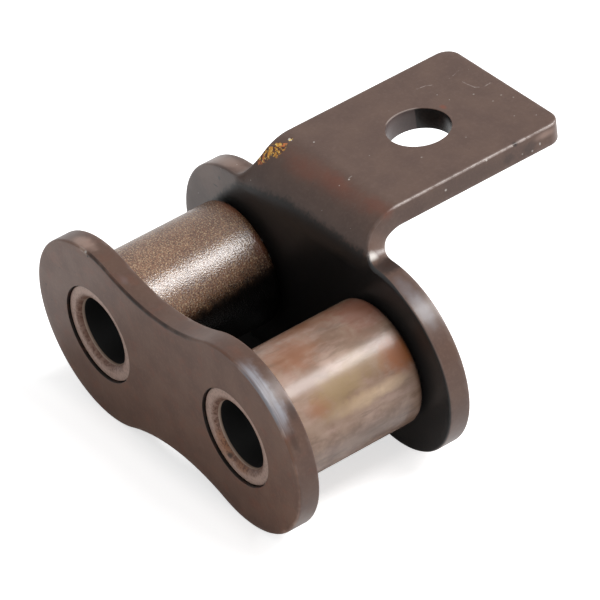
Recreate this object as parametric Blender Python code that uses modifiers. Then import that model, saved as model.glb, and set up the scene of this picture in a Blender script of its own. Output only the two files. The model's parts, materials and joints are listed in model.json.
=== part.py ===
"""Roller link of a single-strand roller chain, with a folded attachment tab.

Metres, Z up. X runs along the chain from bush to bush, and Y across it, from the plain
plate to the plate whose tab is folded outwards. The link stands on the round ends of its
plates, and the origin lies on that surface, under the middle of the whole link.
"""

import math

import bmesh
import bpy
from mathutils import Matrix

MM = 0.001

# The link's driving sizes
PITCH = 19.05 * MM
INNER_WIDTH = 12.8 * MM

# Side plates
PLATE_THICKNESS = 2.0 * MM
PLATE_HEIGHT = 16.9 * MM
WAIST_RADIUS = 18.0 * MM
EDGE_RADIUS = 0.2 * MM
HOLE_EDGE_RADIUS = 0.06 * MM

# Attachment tab, placed from the chain's middle plane and its pitch line
TAB_WIDTH = 15.0 * MM
TAB_HEIGHT = 11.55 * MM
TAB_BEND_RADIUS = 2.55 * MM
TAB_ROOT_RADIUS = 2.0 * MM
TAB_CORNER_RADIUS = 1.4 * MM
TAB_HOLE_REACH = 18.5 * MM
TAB_HOLE_DIAMETER = 5.4 * MM
TAB_END_MARGIN = 8.9 * MM

# Bushes
BUSH_BORE = 5.95 * MM
BUSH_WALL = 1.32 * MM
BUSH_RECESS = 0.25 * MM
BUSH_BORE_CHAMFER = 0.48 * MM
BUSH_RIM_RADIUS = 0.12 * MM

# Rollers
ROLLER_WALL = 1.15 * MM
ROLLER_RIM_RADIUS = 0.75 * MM
ROLLER_BORE_CHAMFER = 0.15 * MM

# Fits
PRESS_GAP = 0.04 * MM
ROLLER_CLEARANCE = 0.08 * MM
ROLLER_SIDE_PLAY = 0.2 * MM

# Smoothness of the round forms
LOBE_STEPS = 32
WAIST_STEPS = 10
HOLE_STEPS = 48
TAB_HOLE_STEPS = 32
CORNER_STEPS = 6
TURNED_STEPS = 48
RIM_STEPS = 3
BEND_STEPS = 9
FADE_STEPS = 4

# Everything that fits together follows from the sizes above
LOBE_RADIUS = PLATE_HEIGHT / 2
BUSH_RADIUS = BUSH_BORE / 2 + BUSH_WALL
BUSH_HOLE_RADIUS = BUSH_RADIUS + PRESS_GAP
ROLLER_BORE_RADIUS = BUSH_RADIUS + ROLLER_CLEARANCE
ROLLER_RADIUS = ROLLER_BORE_RADIUS + ROLLER_WALL
BUSH_LENGTH = INNER_WIDTH + 2 * (PLATE_THICKNESS - BUSH_RECESS)
ROLLER_LENGTH = INNER_WIDTH - 2 * ROLLER_SIDE_PLAY
PLATE_OFFSET = (INNER_WIDTH + PLATE_THICKNESS) / 2

# The chain's middle plane and pitch line, seen from the origin
TAB_REACH = TAB_HOLE_REACH + TAB_END_MARGIN
CHAIN_PLANE_Y = (INNER_WIDTH / 2 + PLATE_THICKNESS - TAB_REACH) / 2
PITCH_LINE_Z = LOBE_RADIUS

# The fold: where it starts in the flat blank, and its length at mid-thickness
BEND_START = TAB_HEIGHT - TAB_BEND_RADIUS - PLATE_THICKNESS
BEND_MEAN_RADIUS = TAB_BEND_RADIUS + PLATE_THICKNESS / 2
BEND_LENGTH = BEND_MEAN_RADIUS * math.pi / 2
BEND_AXIS_OFFSET = INNER_WIDTH / 2 + PLATE_THICKNESS + TAB_BEND_RADIUS


def clear_scene():
    """Empties the scene of objects."""
    for found in list(bpy.data.objects):
        bpy.data.objects.remove(found, do_unlink=True)


def make_material(name, colour, roughness, metallic):
    """A plain finish for one piece."""
    made = bpy.data.materials.new(name)
    made.use_nodes = True
    shader = made.node_tree.nodes["Principled BSDF"]
    shader.inputs["Base Color"].default_value = (*colour, 1.0)
    shader.inputs["Roughness"].default_value = roughness
    shader.inputs["Metallic"].default_value = metallic
    made.diffuse_color = (*colour, 1.0)
    return made


def arc(centre_x, centre_y, radius, start, end, steps):
    """Points along an arc, both ends included, with its angles in radians."""
    angles = [start + (end - start) * step / steps for step in range(steps + 1)]
    return [(centre_x + radius * math.cos(a), centre_y + radius * math.sin(a)) for a in angles]


def circle(centre_x, centre_y, radius, steps):
    """Points round a full circle."""
    return arc(centre_x, centre_y, radius, 0.0, 2 * math.pi, steps)[:-1]


def mirrored(points):
    """The same points on the other side of the link's middle, in the opposite order."""
    return [(-x, y) for x, y in reversed(points)]


def without_repeats(points):
    """Drops each point that lies on the one before it."""
    kept = [points[0]]
    for point in points[1:]:
        if math.dist(point, kept[-1]) > EDGE_RADIUS / 100:
            kept.append(point)
    if math.dist(kept[0], kept[-1]) <= EDGE_RADIUS / 100:
        kept.pop()
    return kept


def waist_centre():
    """Height of the waist arc's centre, for an arc that meets both lobes smoothly."""
    return math.sqrt((LOBE_RADIUS + WAIST_RADIUS) ** 2 - (PITCH / 2) ** 2)


def lower_waist():
    """The hollow under the link's middle, from its left lobe to its right one."""
    centre = waist_centre()
    lean = math.atan2(PITCH / 2, centre)
    return arc(0, -centre, WAIST_RADIUS, math.pi / 2 + lean, math.pi / 2 - lean, WAIST_STEPS)


def plain_outline():
    """Outline of the waisted plate, round the pitch line's middle."""
    lean = math.atan2(PITCH / 2, waist_centre())
    right = arc(PITCH / 2, 0, LOBE_RADIUS, -math.pi / 2 - lean, math.pi / 2 + lean, LOBE_STEPS)
    top = [(-x, -y) for x, y in lower_waist()]
    return without_repeats(lower_waist() + right + top + mirrored(right))


def blank_outline():
    """Outline of the attachment plate before it is folded, with its tab straight up."""
    half = TAB_WIDTH / 2
    root_x = half + TAB_ROOT_RADIUS
    root_y = math.sqrt((LOBE_RADIUS + TAB_ROOT_RADIUS) ** 2 - (PITCH / 2 - root_x) ** 2)
    meets_lobe = math.atan2(root_y, root_x - PITCH / 2)
    lean = math.atan2(PITCH / 2, waist_centre())
    lobe = arc(PITCH / 2, 0, LOBE_RADIUS, -math.pi / 2 - lean, meets_lobe, LOBE_STEPS)
    root = arc(root_x, root_y, TAB_ROOT_RADIUS, meets_lobe - math.pi, -math.pi, CORNER_STEPS)
    corner_x = half - TAB_CORNER_RADIUS
    corner_y = blank_height(TAB_REACH) - TAB_CORNER_RADIUS
    corner = arc(corner_x, corner_y, TAB_CORNER_RADIUS, 0, math.pi / 2, CORNER_STEPS)
    right = lobe + root + corner
    return without_repeats(lower_waist() + right + mirrored(right))


def blank_height(reach):
    """Height in the flat blank of what ends up at this reach from the chain's middle plane."""
    return BEND_START + BEND_LENGTH + reach - BEND_AXIS_OFFSET


def bush_holes():
    """The two holes that the bushes are pressed into: centre, radius and steps."""
    return [(side * PITCH / 2, 0, BUSH_HOLE_RADIUS, HOLE_STEPS) for side in (-1, 1)]


def blanked_sheet(name, outline, holes, material, collection):
    """A sheet cut to its outline, with its edges rounded, and with holes of sharper rims."""
    curve = bpy.data.curves.new(name, "CURVE")
    curve.dimensions = "2D"
    curve.fill_mode = "BOTH"
    curve.extrude = PLATE_THICKNESS / 2 - EDGE_RADIUS
    curve.bevel_depth = EDGE_RADIUS
    curve.bevel_resolution = 1
    curve.offset = -EDGE_RADIUS
    for drawn in [outline] + [circle(*hole) for hole in holes]:
        spline = curve.splines.new("POLY")
        spline.points.add(len(drawn) - 1)
        for point, (x, y) in zip(spline.points, drawn):
            point.co = (x, y, 0, 1)
        spline.use_cyclic_u = True
    pattern = bpy.data.objects.new(name + "_outline", curve)
    collection.objects.link(pattern)
    bpy.context.view_layer.update()
    evaluated = pattern.evaluated_get(bpy.context.evaluated_depsgraph_get())
    mesh = bpy.data.meshes.new_from_object(evaluated)
    bpy.data.objects.remove(pattern, do_unlink=True)
    bpy.data.curves.remove(curve)
    mesh.name = name
    mesh.materials.clear()
    mesh.materials.append(material)
    sheet = bpy.data.objects.new(name, mesh)
    collection.objects.link(sheet)
    with_bmesh(sheet, weld)
    with_bmesh(sheet, lambda shape: sharpen_rims(shape, holes))
    return sheet


def with_bmesh(target, work):
    """Runs one mesh operation on an object's own mesh."""
    shape = bmesh.new()
    shape.from_mesh(target.data)
    work(shape)
    shape.to_mesh(target.data)
    shape.free()
    target.data.update()


def weld(shape):
    """Joins the caps of a filled outline to its sides, faces outwards."""
    bmesh.ops.remove_doubles(shape, verts=shape.verts, dist=EDGE_RADIUS / 100)
    bmesh.ops.recalc_face_normals(shape, faces=shape.faces)


def sharpen_rims(shape, holes):
    """Draws the rounding of the holes' rims in to the small one that a punch leaves."""
    share = HOLE_EDGE_RADIUS / EDGE_RADIUS
    half = PLATE_THICKNESS / 2
    for x, y, radius, _ in holes:
        for vert in shape.verts:
            out = math.hypot(vert.co.x - x, vert.co.y - y)
            if out < radius + 2 * EDGE_RADIUS:
                drawn_in = (radius + (out - radius) * share) / out
                vert.co.x = x + (vert.co.x - x) * drawn_in
                vert.co.y = y + (vert.co.y - y) * drawn_in
                vert.co.z = math.copysign(half - (half - abs(vert.co.z)) * share, vert.co.z)


def score(shape, faces, place, normal):
    """Adds a row of edges where a plane crosses the given faces."""
    edges = {edge for face in faces for edge in face.edges}
    verts = {vert for face in faces for vert in face.verts}
    bmesh.ops.bisect_plane(
        shape,
        geom=list(verts) + list(edges) + list(faces),
        dist=EDGE_RADIUS / 1000,
        plane_co=place,
        plane_no=normal,
    )


def fold_share(x):
    """How far the sheet follows the fold: fully across the tab, and not at all on the lobes."""
    beyond = (abs(x) - TAB_WIDTH / 2) / TAB_ROOT_RADIUS
    share = 1.0 - min(max(beyond, 0.0), 1.0)
    return share * share * (3 - 2 * share)


def fold(shape):
    """Folds the blank's tab back through a right angle, about an axis behind the sheet.

    The sheet lies flat in local X and Y, with the face that turns outwards on the +Z side.
    """
    for step in range(BEND_STEPS + 1):
        height = BEND_START + BEND_LENGTH * step / BEND_STEPS
        score(shape, shape.faces[:], (0, height, 0), (0, 1, 0))
    for side in (-1, 1):
        for step in range(FADE_STEPS + 1):
            x = side * (TAB_WIDTH / 2 + TAB_ROOT_RADIUS * step / FADE_STEPS)
            above = [f for f in shape.faces if f.calc_center_median().y > BEND_START]
            score(shape, above, (x, 0, 0), (1, 0, 0))
    axis_z = -PLATE_THICKNESS / 2 - TAB_BEND_RADIUS
    for vert in shape.verts:
        x, y, z = vert.co
        run = y - BEND_START
        if run <= 0:
            continue
        angle = min(run / BEND_MEAN_RADIUS, math.pi / 2)
        straight = max(run - BEND_LENGTH, 0.0)
        radius = z - axis_z
        folded_y = BEND_START + radius * math.sin(angle)
        folded_z = axis_z + radius * math.cos(angle) - straight
        share = fold_share(x)
        vert.co.y += share * (folded_y - y)
        vert.co.z += share * (folded_z - z)


def stand_up(plate, offset):
    """Stands a plate that was drawn flat across the chain, at its offset from the middle."""
    place = Matrix.Translation((0, CHAIN_PLANE_Y + offset, PITCH_LINE_Z))
    plate.matrix_world = place @ Matrix.Rotation(math.pi / 2, 4, "X")


def turned_ring(name, side, profile, material, collection):
    """A ring turned about the bush axis on one side of the link, with its origin on it."""
    mesh = bpy.data.meshes.new(name)
    count = len(profile)
    mesh.from_pydata(
        [(radius, 0, height) for radius, height in profile],
        [(index, (index + 1) % count) for index in range(count)],
        [],
    )
    mesh.materials.append(material)
    ring = bpy.data.objects.new(name, mesh)
    collection.objects.link(ring)
    screw = ring.modifiers.new("Turn", "SCREW")
    screw.axis = "Z"
    screw.steps = TURNED_STEPS
    screw.render_steps = TURNED_STEPS
    screw.use_merge_vertices = True
    screw.merge_threshold = EDGE_RADIUS / 100
    screw.use_smooth_shade = True
    ring.location = (side * PITCH / 2, CHAIN_PLANE_Y, PITCH_LINE_Z)
    ring.rotation_euler = (-math.pi / 2, 0, 0)
    return ring


def rounded_rim(radius, half_length, rim):
    """Profile of a ring's outer side, top to bottom, with both rims rounded."""
    top = arc(radius - rim, half_length - rim, rim, math.pi / 2, 0, RIM_STEPS)
    return top + [(r, -h) for r, h in reversed(top)]


def chamfered_bore(radius, half_length, chamfer):
    """Profile of a ring's bore, bottom to top, with both mouths chamfered."""
    top = [(radius, half_length - chamfer), (radius + chamfer, half_length)]
    return [(r, -h) for r, h in reversed(top)] + top


def bush_profile():
    """Section of one bush."""
    half = BUSH_LENGTH / 2
    outer = rounded_rim(BUSH_RADIUS, half, BUSH_RIM_RADIUS)
    return outer + chamfered_bore(BUSH_BORE / 2, half, BUSH_BORE_CHAMFER)


def roller_profile():
    """Section of one roller."""
    half = ROLLER_LENGTH / 2
    outer = rounded_rim(ROLLER_RADIUS, half, ROLLER_RIM_RADIUS)
    return outer + chamfered_bore(ROLLER_BORE_RADIUS, half, ROLLER_BORE_CHAMFER)


def smooth_round_faces(target):
    """Shades an object smooth, and leaves its real edges sharp."""
    target.data.shade_smooth()
    target.data.set_sharp_from_angle(angle=math.radians(40))


def build_plates(collection):
    """The plain plate and the attachment plate."""
    plain_steel = make_material("plain_plate_steel", (0.16, 0.135, 0.115), 0.45, 0.8)
    plain = blanked_sheet("plain_link_plate", plain_outline(), bush_holes(), plain_steel, collection)
    stand_up(plain, -PLATE_OFFSET)
    tab_hole = (0, blank_height(TAB_HOLE_REACH), TAB_HOLE_DIAMETER / 2, TAB_HOLE_STEPS)
    tab_steel = make_material("attachment_plate_steel", (0.17, 0.14, 0.115), 0.45, 0.8)
    holes = [tab_hole, *bush_holes()]
    attachment = blanked_sheet("attachment_link_plate", blank_outline(), holes, tab_steel, collection)
    with_bmesh(attachment, fold)
    stand_up(attachment, PLATE_OFFSET)
    smooth_round_faces(plain)
    smooth_round_faces(attachment)


def build_bushes_and_rollers(collection):
    """A bush and its roller at each end of the pitch."""
    for word, side in (("left", -1), ("right", 1)):
        bush_steel = make_material(word + "_bushing_steel", (0.3, 0.24, 0.2), 0.35, 0.9)
        roller_steel = make_material(word + "_roller_steel", (0.3, 0.23, 0.16), 0.3, 0.9)
        turned_ring(word + "_bushing", side, bush_profile(), bush_steel, collection)
        turned_ring(word + "_roller", side, roller_profile(), roller_steel, collection)


def main():
    clear_scene()
    link = bpy.data.collections.new("attachment_chain_link")
    bpy.context.scene.collection.children.link(link)
    build_plates(link)
    build_bushes_and_rollers(link)


main()
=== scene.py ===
"""The looks of a roller chain's attachment link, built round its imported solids.

Every piece is modelled again, finer than the solid it stands for and at the same size and
place: two blanked and tumbled side plates, two pressed bushes and two turned rollers. X runs
along the chain, Y across it from the plain plate to the tab, and Z is up. Metres throughout,
and millimetres in the materials.
"""

import json
import math

import bmesh
import bpy
from mathutils import Matrix, Vector


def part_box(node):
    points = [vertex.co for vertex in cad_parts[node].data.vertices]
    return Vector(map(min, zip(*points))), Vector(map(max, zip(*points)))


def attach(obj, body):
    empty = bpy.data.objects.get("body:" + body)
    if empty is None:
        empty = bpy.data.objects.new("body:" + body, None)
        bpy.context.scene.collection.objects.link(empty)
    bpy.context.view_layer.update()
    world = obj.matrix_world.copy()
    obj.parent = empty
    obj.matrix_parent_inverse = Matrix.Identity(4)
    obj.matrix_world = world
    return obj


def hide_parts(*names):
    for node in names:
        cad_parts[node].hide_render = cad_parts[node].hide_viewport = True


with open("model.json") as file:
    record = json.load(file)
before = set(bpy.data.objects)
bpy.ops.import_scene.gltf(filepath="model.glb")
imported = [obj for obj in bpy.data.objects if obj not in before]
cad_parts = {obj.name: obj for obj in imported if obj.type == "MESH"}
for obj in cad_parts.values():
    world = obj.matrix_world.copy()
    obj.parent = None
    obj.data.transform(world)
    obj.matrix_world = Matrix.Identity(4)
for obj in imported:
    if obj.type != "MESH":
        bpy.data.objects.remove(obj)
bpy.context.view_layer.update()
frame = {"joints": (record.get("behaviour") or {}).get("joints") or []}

MM = 0.001

# Sizes that the frame gives: the bush axes, the faces of the plates, and the tab's height
BUSH_AXES = {joint["child"]: Vector(joint["pos_m"]) for joint in frame["joints"]}
LEFT_AXIS = BUSH_AXES["left_roller"]
RIGHT_AXIS = BUSH_AXES["right_roller"]
PITCH = RIGHT_AXIS.x - LEFT_AXIS.x
PITCH_LINE_Z = LEFT_AXIS.z
LOBE_RADIUS = PITCH_LINE_Z
PLAIN_NEAR_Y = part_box("plain_link_plate")[0].y
TABBED_NEAR_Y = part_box("attachment_link_plate")[0].y
TAB_END_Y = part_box("attachment_link_plate")[1].y
TAB_TOP_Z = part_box("attachment_link_plate")[1].z
PLATE_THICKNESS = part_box("plain_link_plate")[1].y - PLAIN_NEAR_Y
TABBED_FAR_Y = TABBED_NEAR_Y + PLATE_THICKNESS
CHAIN_PLANE_Y = (PLAIN_NEAR_Y + TABBED_FAR_Y) / 2

# Sizes that the frame's boxes don't give
WAIST_RADIUS = 18.0 * MM
EDGE_RADIUS = 0.2 * MM
HOLE_EDGE_RADIUS = 0.06 * MM
TAB_WIDTH = 15.0 * MM
TAB_BEND_RADIUS = 2.55 * MM
TAB_ROOT_RADIUS = 2.0 * MM
TAB_CORNER_RADIUS = 1.4 * MM
TAB_HOLE_RADIUS = 2.7 * MM
TAB_HOLE_REACH = 18.5 * MM
BUSH_RADIUS = 4.295 * MM
BUSH_BORE_RADIUS = 2.975 * MM
BUSH_BORE_CHAMFER = 0.48 * MM
BUSH_RIM_RADIUS = 0.12 * MM
PRESS_GAP = 0.04 * MM
ROLLER_BORE_RADIUS = 4.375 * MM
ROLLER_RADIUS = 5.525 * MM
ROLLER_RIM_RADIUS = 0.75 * MM
ROLLER_BORE_CHAMFER = 0.15 * MM

# How finely the round forms are drawn
FACET = 0.35 * MM
ARC_STEPS_MIN = 12
TURNED_STEPS = 160
RIM_STEPS = 8
MOUTH_STEPS = 6
HOLE_STEPS = 96
EDGE_STEPS = 4
HOLE_EDGE_STEPS = 2
BEND_STEPS = 30
FADE_STEPS = 10
CREASE_ANGLE = math.radians(35)
SHARP_ANGLE = math.radians(60)
WELD_GAP = 0.002 * MM

# Sections of the turned rings: bore, outer radius, rim, chamfer at the bore and its steps
BUSH_SECTION = (BUSH_BORE_RADIUS, BUSH_RADIUS, BUSH_RIM_RADIUS, BUSH_BORE_CHAMFER, MOUTH_STEPS)
ROLLER_SECTION = (ROLLER_BORE_RADIUS, ROLLER_RADIUS, ROLLER_RIM_RADIUS, ROLLER_BORE_CHAMFER, 1)

# The bevels' two curves: a true round, and a chamfer that wear has begun to round
ROUND = 0.5
WORN_CHAMFER = 0.38

# Cuts along a plate's rim, as shares of its thickness, and how far a punch goes beyond it
RIM_CUTS = (0.35, 0.65)
PUNCH_LENGTHS = 4

# How far the wear, and the painted shade, along an edge can reach over the flat beside it
EDGE_MARK_REACH = 0.7 * MM
EDGE_ATTRIBUTE = "edge"

# How far a face looks along the chain's width: on a plate's flat, and on its rounding
FLAT_FACING = 0.999
ROUNDING_FACING = (0.1, 0.99)

# The waist's arc meets both lobes smoothly, this far off the pitch line and leaning this much
WAIST_DROP = math.sqrt((LOBE_RADIUS + WAIST_RADIUS) ** 2 - (PITCH / 2) ** 2)
WAIST_LEAN = math.atan2(PITCH / 2, WAIST_DROP)

# The fold, in the flat blank: where it starts, and its length at mid-thickness
BEND_START_Z = TAB_TOP_Z - TAB_BEND_RADIUS - PLATE_THICKNESS
BEND_AXIS_Y = TABBED_FAR_Y + TAB_BEND_RADIUS
BEND_MEAN_RADIUS = TAB_BEND_RADIUS + PLATE_THICKNESS / 2
BEND_LENGTH = BEND_MEAN_RADIUS * math.pi / 2

# Camera
CAMERA_PLACE = Vector((299.24, -187.59, 262.67)) * MM
CAMERA_TURN = (53.937, 6.650, 53.699)
CAMERA_LENS = 323.1
CAMERA_SENSOR = 36.0
CAMERA_CLIP = (0.01, 20.0)

# Lamp, and how bright the white surroundings are on the steels and in their gloss
LAMP_DIRECTION = Vector((0.41, 0.90, 0.84)).normalized()
LAMP_DISTANCE = 0.6
LAMP_WIDTH = 0.2
LAMP_LENGTH = 0.86
LAMP_POWER = 5.08
SKY_ON_SURFACES = 0.3
SKY_IN_GLOSS = 0.69

# Floor: its colours, and how much lighter the camera sees it than the lamp alone makes it
FLOOR_SIZE = 6.0
FLOOR_COLOUR = (0.95, 0.95, 0.95, 1.0)
FLOOR_NOOK_COLOUR = (0.05, 0.05, 0.05, 1.0)
FLOOR_LIFT_SEEN = 0.75

# The nook: the floor in the deep shade between the rollers, in millimetres, as the gloss of the
# steels shows it and as the camera sees it
NOOK_LOW = (-20.0, -16.5, 0.0)
NOOK_IN_GLOSS_HIGH = (6.0, -0.5, 0.0)
NOOK_FADE = 4.0
NOOK_SEEN_LOW = (-12.5, -6.0, 0.0)
NOOK_SEEN_HIGH = (-7.5, -2.0, 0.0)
NOOK_SEEN_FADE = 2.0

# The soft shadow that the camera sees on the floor all round the link
SHADOW_LOW = (-18.0, -18.8, 0.0)
SHADOW_HIGH = (11.4, 1.4, 0.0)
SHADOW_FADE = 3.7
SHADOW_DEPTH = 0.86

# The shared effects, and how they are drawn: noise lies round its middle, and scratches break
GROUPS = {}
NOISE_MIDDLE = 0.5
WORN_EDGE_FADE = 0.3
SCRATCH_WAVES = 1.2
SCRATCH_GAPS = 3.0
SCRATCH_GAP_FADE = (0.35, 0.5)
SPECK_CORE = 0.5
RIDGE_STRETCH = (0.06, 1.0, 0.06)


def deselect():
    """Leaves edit mode and deselects every object."""
    if bpy.context.object and bpy.context.object.mode == "EDIT":
        bpy.ops.object.mode_set(mode="OBJECT")
    bpy.ops.object.select_all(action="DESELECT")


def pick(piece):
    """Makes one piece the only selected one."""
    deselect()
    bpy.context.view_layer.objects.active = piece
    piece.select_set(True)


def edit(piece):
    """Opens one piece's mesh for editing."""
    pick(piece)
    bpy.ops.object.mode_set(mode="EDIT")


def select(piece, kind, test):
    """In edit mode, selects the vertices, edges or faces that pass a test."""
    bpy.ops.mesh.select_mode(type=kind)
    bpy.ops.mesh.select_all(action="DESELECT")
    shape = bmesh.from_edit_mesh(piece.data)
    parts = {"VERT": shape.verts, "EDGE": shape.edges, "FACE": shape.faces}[kind]
    for part in parts:
        part.select_set(test(part))
    shape.select_flush_mode()
    bmesh.update_edit_mesh(piece.data)


def clean_up():
    """In edit mode, joins doubled points and turns every face outwards."""
    bpy.ops.mesh.select_mode(type="VERT")
    bpy.ops.mesh.select_all(action="SELECT")
    bpy.ops.mesh.remove_doubles(threshold=WELD_GAP)
    bpy.ops.mesh.normals_make_consistent(inside=False)


def smooth(piece):
    """Shades the round faces smooth and keeps the flats flat."""
    pick(piece)
    bpy.ops.object.shade_smooth_by_angle(angle=CREASE_ANGLE)
    weights = piece.modifiers.new("Flats first", "WEIGHTED_NORMAL")
    weights.keep_sharp = True
    bpy.ops.object.modifier_apply(modifier=weights.name)


def bevel_corners(section, test, offset, steps, profile):
    """In edit mode, rounds or chamfers the chosen corners of a flat section."""
    select(section, "VERT", test)
    bpy.ops.mesh.bevel(offset=offset, segments=steps, profile=profile, affect="VERTICES")


def round_edges(radius, steps):
    """In edit mode, rounds the selected edges."""
    bpy.ops.mesh.bevel(offset=radius, segments=steps, profile=ROUND, affect="EDGES")


def turned_ring(name, node, axis, bore, outer, rim, mouth, mouth_steps):
    """A ring spun round a bush axis from the section of its wall, as long as its solid."""
    low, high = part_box(node)
    middle = axis.x + (bore + outer) / 2
    deselect()
    bpy.ops.mesh.primitive_plane_add(size=1, location=(middle, (low.y + high.y) / 2, axis.z))
    ring = bpy.context.object
    ring.name = name
    ring.scale = (outer - bore, high.y - low.y, 1)
    bpy.ops.object.transform_apply(location=True, rotation=True, scale=True)
    edit(ring)
    bevel_corners(ring, lambda v: v.co.x > middle, rim, RIM_STEPS, ROUND)
    inner = axis.x + bore + WELD_GAP
    bevel_corners(ring, lambda v: v.co.x < inner, mouth, mouth_steps, WORN_CHAMFER)
    bpy.ops.mesh.select_all(action="SELECT")
    bpy.ops.mesh.delete(type="ONLY_FACE")
    bpy.ops.mesh.select_mode(type="EDGE")
    bpy.ops.mesh.select_all(action="SELECT")
    bpy.ops.mesh.spin(steps=TURNED_STEPS, angle=2 * math.pi, center=axis, axis=(0, 1, 0))
    clean_up()
    smooth(ring)
    return ring


def begin_outline(name, y):
    """A single point on a plate's near face, where the left lobe runs into the lower waist."""
    start = Vector((-math.sin(WAIST_LEAN), 0, math.cos(WAIST_LEAN))) * WAIST_RADIUS
    start += Vector((0, y, PITCH_LINE_Z - WAIST_DROP))
    deselect()
    bpy.ops.mesh.primitive_plane_add(size=MM, location=start)
    plate = bpy.context.object
    plate.name = name
    bpy.ops.object.transform_apply(location=True, rotation=True, scale=True)
    edit(plate)
    bpy.ops.mesh.select_mode(type="VERT")
    bpy.ops.mesh.select_all(action="SELECT")
    bpy.ops.mesh.merge(type="CENTER")
    return plate


def draw_arc(centre_x, centre_z, radius, turn):
    """In edit mode, draws on from the last point; a positive turn is clockwise from the front."""
    steps = max(ARC_STEPS_MIN, round(abs(turn) * radius / FACET))
    centre = (centre_x, 0, centre_z)
    bpy.ops.mesh.spin(steps=steps, angle=-turn, center=centre, axis=(0, 1, 0))


def draw_straight(along, up):
    """In edit mode, draws on from the last point in a straight line."""
    bpy.ops.mesh.extrude_region_move(TRANSFORM_OT_translate={"value": (along, 0, up)})


def fill_and_thicken():
    """In edit mode, closes the drawn outline and draws it out to the sheet's thickness."""
    bpy.ops.mesh.select_all(action="SELECT")
    bpy.ops.mesh.remove_doubles(threshold=WELD_GAP)
    bpy.ops.mesh.edge_face_add()
    bpy.ops.mesh.extrude_region_move(TRANSFORM_OT_translate={"value": (0, PLATE_THICKNESS, 0)})
    clean_up()


def punch(plate, x, z, radius):
    """Cuts a round hole through a flat plate, with only a breath of rounding on its rims."""
    deselect()
    bpy.ops.mesh.primitive_cylinder_add(
        vertices=HOLE_STEPS,
        radius=radius,
        depth=PLATE_THICKNESS * PUNCH_LENGTHS,
        location=(x, middle_y(plate), z),
        rotation=(math.pi / 2, 0, 0),
    )
    punched = bpy.context.object
    cut = plate.modifiers.new("Hole", "BOOLEAN")
    cut.object = punched
    pick(plate)
    bpy.ops.object.modifier_apply(modifier=cut.name)
    bpy.data.objects.remove(punched, do_unlink=True)
    edit(plate)
    select(plate, "EDGE", lambda edge: is_rim(edge, x, z, radius))
    round_edges(HOLE_EDGE_RADIUS, HOLE_EDGE_STEPS)
    deselect()


def is_rim(edge, x, z, radius):
    """Whether an edge runs round the rim of a hole, and not through its wall."""
    ends = [vert.co for vert in edge.verts]
    round_hole = all(abs(math.hypot(end.x - x, end.z - z) - radius) < WELD_GAP for end in ends)
    return round_hole and abs(ends[0].y - ends[1].y) < WELD_GAP


def middle_y(plate):
    """Where the middle of a flat plate's thickness lies across the chain."""
    places = [vert.co.y for vert in plate.data.vertices]
    return (min(places) + max(places)) / 2


def tumble(plate):
    """Rounds every edge of a flat plate, and keeps a measure of edge and flat for the rubbed edges
    and the painted shade along them.
    """
    near_y = middle_y(plate) - PLATE_THICKNESS / 2
    edit(plate)
    for share in RIM_CUTS:
        bpy.ops.mesh.select_all(action="SELECT")
        bpy.ops.mesh.bisect(plane_co=(0, near_y + PLATE_THICKNESS * share, 0), plane_no=(0, 1, 0))
    bpy.ops.mesh.select_mode(type="EDGE")
    bpy.ops.mesh.select_all(action="DESELECT")
    bpy.ops.mesh.edges_select_sharp(sharpness=SHARP_ANGLE)
    round_edges(EDGE_RADIUS, EDGE_STEPS)
    select(plate, "FACE", lambda face: abs(face.normal.y) > FLAT_FACING)
    bpy.ops.mesh.inset(thickness=EDGE_MARK_REACH, use_boundary=True)
    deselect()
    edge_share = plate.data.attributes.new(EDGE_ATTRIBUTE, "FLOAT", "POINT")
    low, high = ROUNDING_FACING
    for face in plate.data.polygons:
        if low < abs(face.normal.y) < high:
            for corner in face.vertices:
                edge_share.data[corner].value = 1.0


def blank_plain_plate():
    """The plate nearest the camera: two lobes, waisted above and below, and two bush holes."""
    plate = begin_outline("plain_side_plate", PLAIN_NEAR_Y)
    draw_arc(0, PITCH_LINE_Z - WAIST_DROP, WAIST_RADIUS, 2 * WAIST_LEAN)
    draw_arc(RIGHT_AXIS.x, PITCH_LINE_Z, LOBE_RADIUS, -math.pi - 2 * WAIST_LEAN)
    draw_arc(0, PITCH_LINE_Z + WAIST_DROP, WAIST_RADIUS, 2 * WAIST_LEAN)
    draw_arc(LEFT_AXIS.x, PITCH_LINE_Z, LOBE_RADIUS, -math.pi - 2 * WAIST_LEAN)
    fill_and_thicken()
    tumble(plate)
    for axis in (LEFT_AXIS, RIGHT_AXIS):
        punch(plate, axis.x, axis.z, BUSH_RADIUS + PRESS_GAP)
    smooth(plate)
    return plate


def blank_height(y):
    """Height in the flat blank of what the fold brings to this place across the chain."""
    return BEND_START_Z + BEND_LENGTH + y - BEND_AXIS_Y


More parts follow.
